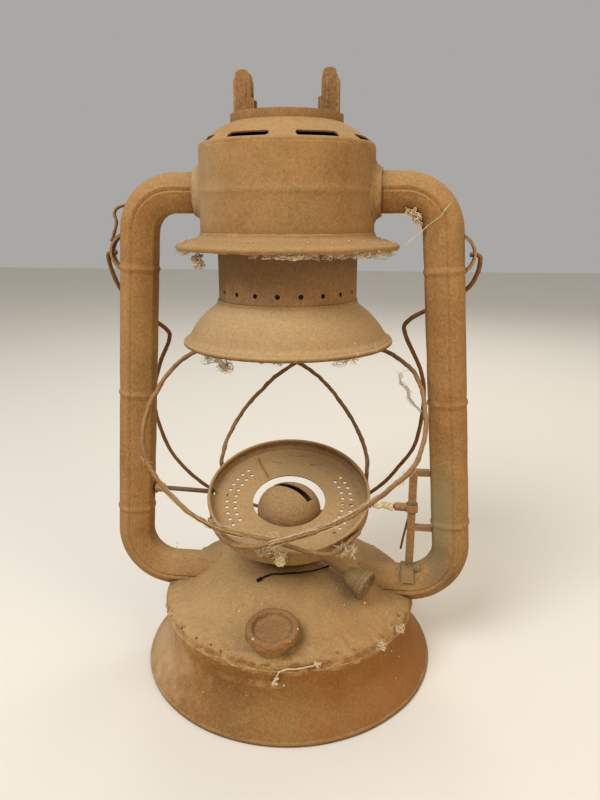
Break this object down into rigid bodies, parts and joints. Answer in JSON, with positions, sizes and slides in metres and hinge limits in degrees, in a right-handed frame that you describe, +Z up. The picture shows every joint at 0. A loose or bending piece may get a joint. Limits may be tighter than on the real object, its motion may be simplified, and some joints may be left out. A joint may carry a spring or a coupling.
{
  "type": "hanging lantern",
  "caption": "Tubular storm lantern of rusted sheet steel with a wire bail, wire globe guard, tilting globe plate, flat-wick burner and screw filler cap; globe and top cap missing.",
  "frame": {"origin": "centre of the base rim, on the surface the lantern stands on", "axes": "+Z up through the hood; -Y the front, where the filler cap is; +X the side that carries the lift rail"},
  "size_m": [0.226, 0.184, 0.3504],
  "materials": {
    "tube_rust": "orange brown rust over old tin plate, dusty",
    "base_rust": "orange brown rust, dusty on top",
    "fount_rust": "brown rust under sandy dust",
    "hood_rust": "dark brown rust with sandy dust on top",
    "chimney_rust": "brown rust with pale dust",
    "plate_rust": "brown rust with thick pale dust",
    "wire_rust": "dark rough rust",
    "strap_rust": "brown rust, dusty",
    "burner_rust": "dark brown tarnish and dust",
    "knob_grey": "dull grey brown tarnish",
    "wick_cotton": "woven cotton, dirty",
    "gasket_cork": "old cork"
  },
  "bodies": {
    "lantern_body": {"right_air_tube": "tube_rust", "left_air_tube": "tube_rust", "right_tube_collar": "tube_rust", "left_tube_collar": "tube_rust", "base_skirt": "base_rust", "fount_bottom_pan": "base_rust", "fount_top_dome": "fount_rust", "air_chamber": "fount_rust", "filler_neck": "fount_rust", "hood_drum": "hood_rust", "hood_flange": "hood_rust", "hood_floor_ring": "hood_rust", "hood_dome": "hood_rust", "top_collar": "hood_rust", "flue_tube": "hood_rust", "prong_left": "hood_rust", "prong_right": "hood_rust", "bail_ear_right": "strap_rust", "bail_ear_left": "strap_rust", "chimney_spring": "wire_rust", "lift_rail": "strap_rust", "rail_bracket_top": "strap_rust", "rail_bracket_middle": "strap_rust", "rail_foot_boss": "strap_rust", "burner_collar": "burner_rust", "burner_body": "burner_rust", "shaft_bush": "burner_rust", "burner_cone": "burner_rust", "wick_tube": "burner_rust"},
    "bail": {"bail": "wire_rust"},
    "chimney": {"chimney_bell": "chimney_rust", "chimney_neck": "chimney_rust", "chimney_stop_ring": "chimney_rust"},
    "globe_lift": {"lift_slider": "strap_rust", "tube_guide_clip": "strap_rust", "lift_wire": "wire_rust"},
    "globe_carrier": {"globe_plate": "plate_rust", "axle_rod_right": "wire_rust", "axle_rod_left": "wire_rust", "guard_wire_left": "wire_rust", "guard_wire_right": "wire_rust"},
    "cap_lift": {"cap_gasket": "gasket_cork"},
    "screw_cap": {"filler_cap": "fount_rust"},
    "wick_strip": {"wick": "wick_cotton"},
    "wick_winder": {"wick_shaft": "burner_rust", "star_wheels": "burner_rust", "wick_knob": "knob_grey"}
  },
  "joints": [
    {"name": "bail_swing", "type": "hinge", "parent": "lantern_body", "child": "bail", "pos_m": [0, 0, 0.256], "axis": [1, 0, 0], "range_deg": [0, 310]},
    {"name": "chimney_slide", "type": "slide", "parent": "lantern_body", "child": "chimney", "axis": [0, 0, 1], "range_m": [0, 0.015], "stiffness_N_per_m": 150, "springref_m": -0.01, "deforming": ["chimney_spring"]},
    {"name": "globe_lift_slide", "type": "slide", "parent": "lantern_body", "child": "globe_lift", "axis": [0, 0, 1], "range_m": [-0.008, 0.005]},
    {"name": "plate_tilt", "type": "hinge", "parent": "globe_lift", "child": "globe_carrier", "pos_m": [0, 0, 0.1053], "axis": [0.9995, 0, -0.0314], "range_deg": [-19.7, 0]},
    {"name": "cap_lift_slide", "type": "slide", "parent": "lantern_body", "child": "cap_lift", "axis": [0, -0.1392, 0.9903], "range_m": [0, 0.0024]},
    {"name": "cap_turn", "type": "hinge", "parent": "cap_lift", "child": "screw_cap", "pos_m": [0, -0.067, 0.0514], "axis": [0, -0.1392, 0.9903], "range_deg": [0, 540]},
    {"name": "wick_turn", "type": "hinge", "parent": "lantern_body", "child": "wick_winder", "pos_m": [0.05144, -0.03318, 0.066], "axis": [0.8567, -0.4555, -0.2419], "range_deg": [-60, 60]},
    {"name": "wick_raise", "type": "slide", "parent": "lantern_body", "child": "wick_strip", "axis": [0, 0, 1], "range_m": [-0.0038, 0.0038]}
  ],
  "couplings": [
    {"joint": "cap_lift_slide", "follows": "cap_turn", "m_per_rad": 0.00025465},
    {"joint": "wick_raise", "follows": "wick_turn", "m_per_rad": 0.0036}
  ]
}
